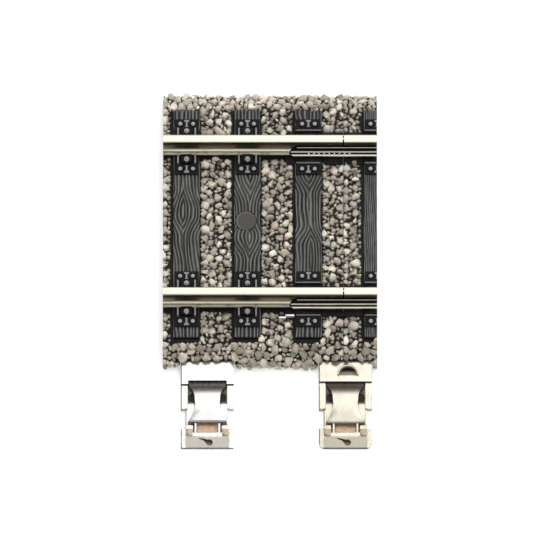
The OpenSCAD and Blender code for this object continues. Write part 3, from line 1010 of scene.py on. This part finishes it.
# Colour by height: painted highlight lines on the foot, painted shade from the upper web over the head's
# sides, and a bright head top.
metal = height.ramp(
    (0.0, (0.05, 0.045, 0.035)), (0.095, (0.10, 0.09, 0.07)), (0.108, (0.23, 0.215, 0.175)),
    (0.13, (0.23, 0.215, 0.175)), (0.14, (0.10, 0.09, 0.065)), (0.153, (0.12, 0.11, 0.08)),
    (0.161, (0.45, 0.43, 0.325)), (0.176, (0.45, 0.43, 0.325)), (0.186, (0.13, 0.11, 0.075)),
    (0.2, (0.14, 0.12, 0.08)), (0.24, (0.40, 0.345, 0.23)), (0.36, (0.32, 0.27, 0.17)),
    (0.48, (0.15, 0.125, 0.075)), (0.56, (0.012, 0.01, 0.006)), (0.93, (0.008, 0.006, 0.004)),
    (0.955, (0.3, 0.285, 0.235)), (0.975, (0.395, 0.38, 0.325)))
along = place.axis("X")
seated = None
for low, high in sleepers[:2]:
    near_seat = along.within(low.x / mm - 0.3, low.x / mm + 0.5, high.x / mm - 0.5, high.x / mm + 0.3)
    seated = near_seat if seated is None else seated + near_seat
# The web is painted dark over the sleepers, as shade; the foot has random stains.
web = height.within(0.19, 0.21, 0.8, 0.9)
stained_foot = (1 - height.between(0.16, 0.17)) * stain.between(0.48, 0.75)
soot = web * (seated * 0.75) + stained_foot * 0.7
set_surface(rail_material, {
    "Base Color": soot.mix(metal, (0.012, 0.01, 0.007)),
    "Metallic": 0.9,
    "Roughness": drawn * 0.15 + 0.24,
}, drawn, 0.006)
outline = rounded(list(rail_half) + [(-across, up, radius) for across, up, radius in reversed(rail_half)])
for (section, body), (start, end) in zip(sections.items(), section_ends):
    for side_name, side in (("far", 1), ("near", -1)):
        form = bmesh.new()
        draw_bar(form, outline, (side * rail_y / mm, rail_foot), (start.x / mm, end.x / mm))
        mark_sharp(form, 35)
        node = f"rail_{side_name}_{section}"
        add_piece(node + "_drawn", form, body, "rail", [rail_material], node, smooth=True)

# ---------------------------------------------------------------- joiners
# Blackened sheet folded round the rail foot, with its sides rising beside the web
# as fishplates. The ridges along it are painted bright, as highlights with some wear.
# The far one also has a row of small pips punched up beside the rail, painted bright as highlights.
sheet_half = 0.055
pip_start, pip_pitch, pip_count = 4.15, 0.55, 9
# (across, up, painted highlight with some wear) along the middle of the sheet, from below the rail
# outwards
joiner_half = (
    (0, -0.12, 0), (1.04, -0.12, 0), (1.13, -0.08, 0), (1.17, 0.05, 0.2), (1.17, 0.22, 0.6),
    (1.13, 0.33, 1), (1.05, 0.37, 0.5), (0.97, 0.345, 0), (0.88, 0.36, 0), (0.81, 0.44, 0.5),
    (0.745, 0.485, 1), (0.68, 0.47, 0.3), (0.6, 0.48, 0), (0.48, 0.6, 0), (0.415, 0.72, 0),
    (0.4, 0.86, 0), (0.42, 0.95, 0.3), (0.47, 1.02, 1),
)


def thicken(path, half):
    """The two sides of a sheet of a half thickness that follows a path."""
    right, left = [], []
    for i, point in enumerate(path):
        before, after = Vector(path[max(i - 1, 0)][:2]), Vector(path[min(i + 1, len(path) - 1)][:2])
        run = (after - before).normalized()
        out = Vector((run.y, -run.x)) * half
        right.append(Vector(point[:2]) + out)
        left.append(Vector(point[:2]) - out)
    return right, left


joiner_material, place = start_material("joiner_blackened")
worn = place.stretch(0.5, 3, 3).noise(1.5, 4, 0.65)
rubbed = place.attribute("rubbed")
# Marked ridges are painted light, as highlights with some wear.
set_surface(joiner_material, {
    "Base Color": (rubbed * 0.75 + worn * 0.35).ramp(
        (0.2, (0.004, 0.0035, 0.003)), (0.42, (0.03, 0.027, 0.024)), (0.75, (0.80, 0.76, 0.66))),
    "Metallic": 0.85,
    "Roughness": worn * 0.25 + 0.22,
}, worn, 0.012)
outer, inner = thicken(joiner_half, sheet_half)
half = [(point.x, point.y, shine) for point, (_, _, shine) in zip(outer, joiner_half)][1:]
half += [(point.x, point.y, 0) for point in reversed(inner[1:])]
outline = half + [(-across, up, shine) for across, up, shine in reversed(half)]
pip = pattern("pip", turned(((0.1, -0.04), (0.1, 0.02), (0.08, 0.06), (0.04, 0.085)), 12))
for side_name, side, body in (("far", 1, "track_long"), ("near", -1, "track_short")):
    node = f"joiner_{side_name}"
    low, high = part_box(node)
    y = side * rail_y / mm
    form = new_form("rubbed")
    stations = [low.x / mm + (high.x - low.x) / mm * k / 40 for k in range(41)]
    rings = draw_bar(form, [(across, up) for across, up, _ in outline], (y, rail_foot), stations)
    for corner, (_, _, shine) in zip(zip(*rings), outline):
        mark(form, "rubbed", corner, shine)
    # The open end of the sheet: its top is cut back, and so are its two lower corners.
    cuts = [(Vector((low.x + 0.2 * mm, 0, low.z + 0.72 * mm)), Vector((-0.616, 0, 0.788)))]
    for way in (-1, 1):
        cuts.append((Vector((low.x, (y + way) * mm, 0)), Vector((-0.375, way * 0.927, 0))))
    for spot, away in cuts:
        slice_off(form, spot, away)
    bmesh.ops.recalc_face_normals(form, faces=form.faces)
    mark_sharp(form, 40)
    if side == 1:
        before = set(form.verts)
        pips = [(pip_start + pip_pitch * k, y - 0.93, rail_foot + 0.40) for k in range(pip_count)]
        set_out(form, pips, pip, joiner_material)
        # The pips are painted bright, as highlights.
        mark(form, "rubbed", [v for v in form.verts if v not in before], 1.0)
    add_piece(node + "_folded", form, body, "joiner", [joiner_material], node, smooth=True)
bpy.data.objects.remove(pip)

# ---------------------------------------------------------------- contact strips
# Brass strips, cut and folded from sheet, that run under the deck and carry the
# current from each clip to its rail.


def bevel(piece, width):
    """Rounds a piece's sharp edges, width in millimetres."""
    modifier = piece.modifiers.new("edges", "BEVEL")
    modifier.width = width * mm
    modifier.segments = 2
    modifier.angle_limit = math.radians(35)
    modifier.use_clamp_overlap = False
    modifier.harden_normals = True
    for face in piece.data.polygons:
        face.use_smooth = True


strip_material, place = start_material("strip_brass")
rolled = place.stretch(3, 0.4, 3).noise(4, 3, 0.6)
set_surface(strip_material, {
    "Base Color": rolled.ramp((0.3, (0.55, 0.38, 0.14)), (0.7, (0.78, 0.60, 0.28))),
    "Metallic": 1.0,
    "Roughness": rolled * 0.2 + 0.22,
}, rolled, 0.006)
for side in ("far", "near"):
    node = f"contact_strip_{side}"
    piece = add_piece(
        node + "_folded", merged_copy(node), "track_long", "contact_strip", [strip_material], node)
    bevel(piece, 0.03)

# ---------------------------------------------------------------- contact tag
# The near strip's tinned tag, which comes up through the deck beside the joiner's
# trough and shows its two folded ends.
tin_material, place = start_material("tag_tinned")
ripple = place.noise(6, 3, 0.6)
set_surface(tin_material, {
    "Base Color": ripple.ramp((0.3, (0.45, 0.45, 0.44)), (0.6, (0.86, 0.86, 0.85))),
    "Metallic": 0.5,
    "Roughness": ripple * 0.2 + 0.2,
}, ripple, 0.02)
form = bmesh.new()
for x0, y0, x1, y1, top in ((0.95, -10.82, 1.72, -10.64, 3.058), (1.64, -10.6, 2.62, -10.4, 3.0856)):
    soft_block(form, (x0, y0, 2.3), (x1, y1, top))
add_piece("contact_tag_near", form, "track_long", "contact_strip", [tin_material], smooth=True)

# ---------------------------------------------------------------- feeder clips
# Stamped and folded spring sheet: a base, a leaf folded back over it, a waisted spring
# lever, and a box with a sloping end wall that the wire goes in through. Clip 1 is
# still bright. Clip 2 has yellowed, and a half-round pocket is pressed into its leaf.
sheet = 0.22
leaf_top = 1.0
clip_half = 2.84
clip_tip = -24.65
clip_bend = -9.6
box_half = 2.32
box_start = -20.6
bar_outer = -23.6
bar_inner = -23.1
flange_low = 0.83
# The recess under the lever: half width, near and far end, height of its floor.
recess = (2.04, -19.35, -18.45, 0.1)
# The base between its side notches: half width, near and far end.
side_notch = (2.31, -22.38, -20.33)
pivot = (-16.9, 0.5)
wall_foot = (-24.6, 0.11)
wall_head = (-23.55, 0.93)
pocket_r = 0.93
pocket_rim = 0.22
pocket_shift = 0.27
pocket_y = -foot_y / mm - 0.05 - pocket_r - pocket_rim
# Each clip's wall colour is lighter than its sheet: painted light on the sloping end wall.
clip_looks = (
    {"slot": "clip_silver", "corner": 0.15, "leaf_edge": -17.62, "notch": 0.4, "tail": -21.86,
     "dull": (0.47, 0.46, 0.44), "bright": (0.54, 0.535, 0.52), "wall": (0.72, 0.68, 0.62)},
    {"slot": "clip_yellowed", "corner": 0.65, "leaf_edge": -17.33, "notch": 0, "tail": -21.99,
     "dull": (0.37, 0.345, 0.27), "bright": (0.46, 0.44, 0.38), "wall": (0.70, 0.65, 0.54)},
)


def arc(across, up, radius, start, end, steps):
    """Points of an arc about (across, up), from one angle to another, in degrees."""
    angles = [math.radians(start + (end - start) * i / steps) for i in range(steps + 1)]
    return [(across + radius * math.cos(a), up + radius * math.sin(a)) for a in angles]


def soften(form, edge):
    """Rounds every sharp edge of a bmesh by a width in millimetres."""
    sharp = [e for e in form.edges if e.is_manifold and e.calc_face_angle() > math.radians(35)]
    bmesh.ops.bevel(form, geom=sharp, offset=edge * mm, segments=2, profile=0.5, affect="EDGES")


def stamp(outline, low, high):
    """A flat solid of an outline of (x, y) points between two heights, in millimetres."""
    form = new_form("tarnish", "soot")
    skin(form, [[(x, y, z) for x, y in outline] for z in (low, high)])
    return form


def base_plate(x, corner):
    """The base, with its round outer corners, its side notches and its recess."""
    r = corner
    half, near, far = side_notch
    right = [(clip_half, clip_bend), (clip_half, far), (half, far), (half, near), (clip_half, near)]
    right += arc(clip_half - r, clip_tip + r, r, 0, -90, 6)
    left = [(-across, y) for across, y in reversed(right)]
    form = stamp([(x + across, y) for across, y in right + left], 0, sheet)
    cutter = bmesh.new()
    half, outer, inner, depth = recess
    corners = ((half, outer, 0.3), (half, inner, 0.45), (-half, inner, 0.45), (-half, outer, 0.3))
    merge(cutter, stamp([(x + across, y) for across, y in rounded(corners)], depth, 1))
    form = carve(form, cutter)
    soften(form, 0.03)
    # The floor of the recess is painted dark, as shade.
    hollow = [v for v in form.verts if 0.05 * mm < v.co.z < (depth + 0.02) * mm
              and outer * mm < v.co.y < inner * mm and abs(v.co.x - x * mm) < half * mm]
    mark(form, "soot", hollow, 1)
    return form


def leaf(x, looks):
    """The hairpin bend and the leaf that it carries."""
    middle = leaf_top / 2
    radius = middle - sheet / 2
    path = [(clip_bend - 0.3, sheet / 2)] + arc(clip_bend, middle, radius, -90, 90, 10)
    path += [(looks["leaf_edge"], leaf_top - sheet / 2)]
    right, left = thicken(path, sheet / 2)
    form = new_form("tarnish", "soot")
    draw_bar(form, right + list(reversed(left)), (0, 0), (x - clip_half, x + clip_half))
    cutter = bmesh.new()
    edge = looks["leaf_edge"]
    if looks["notch"]:
        block(cutter, Vector((x - recess[0], edge - 1, 0.5)) * mm,
              Vector((x + recess[0], edge + looks["notch"], 2)) * mm)
    else:
        half_round = arc(x + pocket_shift, pocket_y, pocket_r, 0, 180, 20)
        merge(cutter, stamp(half_round, 0.5, 2))
    form = carve(form, cutter)
    soften(form, 0.035)
    return form


def end_wall(x):
    """The sloping end wall, with a round entry that runs out into a curved tail."""
    run = Vector(wall_head) - Vector(wall_foot)
    form = bmesh.new()
    soft_block(form, (-box_half, 0, -sheet / 2), (box_half, run.length, sheet / 2), 0.04)
    entry = [(0.22 + across, 0.7 + up) for across, up in arc(0, 0, 0.36, 115, -160, 14)]
    tail = [(-0.35, 0.86), (-0.85, 1.1), (-0.98, 1.2), (-0.9, 1.24), (-0.4, 1.14)]
    form = carve(form, stamp(entry + tail, -1, 1))
    pitch = math.atan2(run.y, run.x)
    bmesh.ops.rotate(form, verts=form.verts, cent=(0, 0, 0), matrix=Matrix.Rotation(pitch, 3, "X"))
    bmesh.ops.translate(form, verts=form.verts, vec=Vector((x, *wall_foot)) * mm)
    return form


def wire_box(form, x):
    """Side folds, then the box: cheeks, flanges with lugs, fingers for the saddle, a bar."""
    top = flange_low + sheet
    # Each fold: from (inwards, along, up) to (outwards, along, up), and how tanned it is.
    folds = (
        (2.12, -20.3, 0.1, clip_half - 0.02, -16.6, 0.72, 0),
        (box_half - sheet, bar_outer, 0.1, box_half, box_start, top, 0),
        (1.54, bar_outer, flange_low, box_half - 0.02, -22.3, top - 0.01, 0),
        (1.58, -23.5, flange_low, 2.28, -22.75, top + 0.16, 1),
        (1.16, bar_outer + 0.02, 0.1, 1.38, -22.06, top - 0.02, 0),
    )
    for side in (-1, 1):
        for inner, start, low, outer, end, high, tan in folds:
            x0, x1 = sorted((x + side * inner, x + side * outer))
            made = soft_block(form, (x0, start, low), (x1, end, high))
            mark(form, "tarnish", made, tan)
    bar_half = box_half - 0.1
    soft_block(form, (x - bar_half, bar_outer, flange_low), (x + bar_half, bar_inner, top), 0.05)


def pocket(form, x):
    """The pocket's raised rim and its floor, which slopes down under the leaf."""
    centre = x + pocket_shift
    outer_r = pocket_r + pocket_rim
    ring = rounded([(pocket_r, leaf_top - 0.1, 0), (outer_r, leaf_top - 0.1, 0),
                    (outer_r, leaf_top + 0.34, 0.1), (pocket_r, leaf_top + 0.34, 0.1)], 4)
    rim = []
    for k in range(25):
        turn = math.pi * k / 24
        rim.append([(centre + r * math.cos(turn), pocket_y + r * math.sin(turn), z) for r, z in ring])
    skin(form, rim)
    rows = []
    for k in range(12):
        y = pocket_r * k / 12
        chord = math.sqrt(pocket_r ** 2 - y ** 2) + 0.02
        z = leaf_top - 0.03 - 0.42 * y
        rows.append([(centre - chord, pocket_y + y, z), (centre + chord, pocket_y + y, z),
                     (centre + chord, pocket_y + y, z - 0.18), (centre - chord, pocket_y + y, z - 0.18)])
    # The floor is painted dark as shade, the more the further it runs under the leaf.
    for row, made in zip(range(12), skin(form, rows)):
        mark(form, "soot", made, min(1, max(0, row / 12 * 3 - 0.9)))


def lever(x, tail):
    """The waisted spring tongue, rolled round its pivot, with a lip turned down."""
    path = [pivot, (-17.1, 0.5), (-17.35, 0.5)] + arc(-17.45, 1.2, 0.7, 262, 228, 6)
    path += arc(-19.0, -0.32, 1.72, 62, 90, 10) + arc(-19.6, -6.9, 8.3, 92.5, 106, 12)[:-1]
    path += [(tail + 0.13, 1.085), (tail + 0.04, 1.04), (tail, 0.95), (tail, 0.85)]
    right, left = thicken(path, sheet / 2)
    narrowest = 1.32
    side_r = 3.46
    side_y = -19.75
    # (across, through the sheet) round the tongue's section
    outline = [(-1, 0.25), (-1, 0.75), (-0.985, 0.95), (-0.96, 1), (-0.5, 1), (0, 1), (0.5, 1),
               (0.96, 1), (0.985, 0.95)]
    outline += [(-across, 1 - share) for across, share in outline]
    rings = []
    for upper, lower in zip(right, left):
        y = (upper.x + lower.x) / 2
        swing = max(0, side_r ** 2 - (y - side_y) ** 2)
        half = min(2.0, narrowest + side_r - math.sqrt(swing))
        rings.append([])
        for across, share in outline:
            point = lower.lerp(upper, share)
            rings[-1].append((x + across * half, point.x, point.y))
    form = new_form("tarnish", "soot")
    # The tongue is painted dark as shade where it runs under the leaf, fading out towards its tail.
    for made, (y, _) in zip(skin(form, rings), path):
        mark(form, "soot", made, 0.96 - 0.1 * ease(-y, 17.3, 17.6) - 0.86 * ease(-y, 18.35, 19.1))
    barrel = turned(((0.19, -2.0), (0.22, -1.97), (0.22, 1.97), (0.19, 2.0)), 24)
    on_its_side = Matrix.Rotation(math.pi / 2, 3, "Y")
    bmesh.ops.rotate(barrel, verts=barrel.verts, cent=(0, 0, 0), matrix=on_its_side)
    bmesh.ops.translate(barrel, verts=barrel.verts, vec=Vector((x, *pivot)) * mm)
    # The barrel under the leaf is painted dark, as shade.
    before = set(form.verts)
    merge(form, barrel)
    mark(form, "soot", [v for v in form.verts if v not in before], 0.95)
    return form


def clip_material(name, x, looks):
    """Rolled sheet, with painted shade in its hollows, under the leaf's edge and along its edges, dark
    pits in the end wall, tan marks about the box, and the end wall painted lighter.
    """
    material, place = start_material(name)
    rolled = place.stretch(5, 0.5, 5).noise(2, 4, 0.6)
    cloud = place.noise(0.7, 3)
    flecks = place.noise(5, 3, 0.6)
    pits = place.noise(8, 2, 0.8).between(0.58, 0.68)
    across, along, up = place.axis("X") - x, place.axis("Y"), place.axis("Z")
    between_cheeks = across.within(-2.16, -2.04, 2.04, 2.16) * (1 - up.between(0.24, 0.34))
    behind = between_cheeks * along.between(-19.7, -19.4)
    in_box = between_cheeks * along.within(-24.4, -24.2, -21.7, -21.5)
    wall = (1 - along.between(-23.66, -23.56)) * up.between(0.24, 0.3)
    wall = wall * (1 - abs(across).between(2.3, 2.34))
    box_top = (1 - along.between(-22.1, -21.9)) * (1 - wall)
    # Thin painted shadows along the base's left edge, its left side notch and its near end.
    left_edge = 1 - across.between(0.05 - clip_half, 0.16 - clip_half)
    side_edge = (1 - across.between(-2.28, -2.18)) * along.within(-22.4, -22.34, -20.36, -20.3)
    near_edge = 1 - along.between(0.03 + clip_tip, 0.14 + clip_tip)
    # A painted shadow line under the leaf's cut edge, and under its notch.
    edge = looks["leaf_edge"]
    cut = along.within(edge - 0.1, edge - 0.07, edge + 0.03, edge + 0.05)
    edge += looks["notch"]
    notch = along.within(edge - 0.1, edge - 0.07, edge + 0.03, edge + 0.05)
    cut = cut + notch * (1 - abs(across).between(2.03, 2.06))

    # Tan marks on the lugs and about the box top; beside the waist and inside the box the tan stands for
    # painted shade.
    tarnish = place.attribute("tarnish") * (flecks * 0.8 + 0.4)
    tarnish = tarnish + (behind + in_box) * (flecks * 0.8 + 0.5)
    tarnish = tarnish + box_top * flecks.between(0.42, 0.62) * 0.45
    # Painted shade in the marked hollows, along the edges, under the leaf's edge, beside the waist and
    # inside the box, and small dark pits in the end wall.
    soot = place.attribute("soot") * (rolled * 0.5 + 0.75)
    soot = soot + (left_edge + side_edge + near_edge) * flecks.between(0.2, 0.5) * 0.85
    soot = soot + cut * up.between(0.7, 0.74) + wall * pits * 0.75
    soot = soot + (behind * 0.8 + in_box * 0.6) * flecks.between(0.1, 0.55)

    metal = (rolled * 0.4 + cloud * 0.6).ramp((0.35, looks["dull"]), (0.6, looks["bright"]))
    # The end wall is painted lighter than the rest of the sheet, as painted light.
    metal = wall.mix(metal, looks["wall"])
    tan = flecks.ramp((0.3, (0.08, 0.05, 0.028)), (0.7, (0.34, 0.25, 0.16)))
    set_surface(material, {
        "Base Color": soot.mix(tarnish.mix(metal, tan), (0.02, 0.015, 0.008)),
        "Metallic": 0.62 - soot * 0.4,
        "Roughness": rolled * 0.08 + cloud * 0.08 + soot * 0.3 + 0.12,
    }, rolled, 0.005)
    return material


for number, looks in enumerate(clip_looks, 1):
    node = f"clip_frame_{number}"
    low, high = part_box(node)
    x = (low.x + high.x) / 2 / mm
    material = clip_material(f"clip_sheet_{number}", x, looks)
    form = base_plate(x, looks["corner"])
    merge(form, leaf(x, looks))
    merge(form, end_wall(x))
    wire_box(form, x)
    if not looks["notch"]:
        pocket(form, x)
    mark_sharp(form, 32)
    add_piece(node + "_folded", form, f"clip_{number}", looks["slot"], [material], node)
    node = f"clip_lever_{number}"
    form = lever(x, looks["tail"])
    mark_sharp(form, 32)
    add_piece(node + "_waisted", form, f"lever_{number}", looks["slot"], [material], node)

# ---------------------------------------------------------------- saddles
# A small pad of oxidised copper in each clip's box. It lies between the box's fingers,
# and presses on the bared wire.
saddle_material, place = start_material("saddle_copper")
spots = place.noise(3, 4, 0.7)
set_surface(saddle_material, {
    "Base Color": spots.ramp((0.3, (0.26, 0.17, 0.11)), (0.7, (0.62, 0.44, 0.31))),
    "Metallic": 0.7,
    "Roughness": spots * 0.3 + 0.35,
}, spots, 0.02)
for i in range(2):
    node = f"clip_saddle_{i + 1}"
    low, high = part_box(node)
    form = bmesh.new()
    soft_block(form, low / mm, high / mm, 0.035)
    add_piece(node + "_pad", form, f"clip_{i + 1}", "saddle", [saddle_material], node)
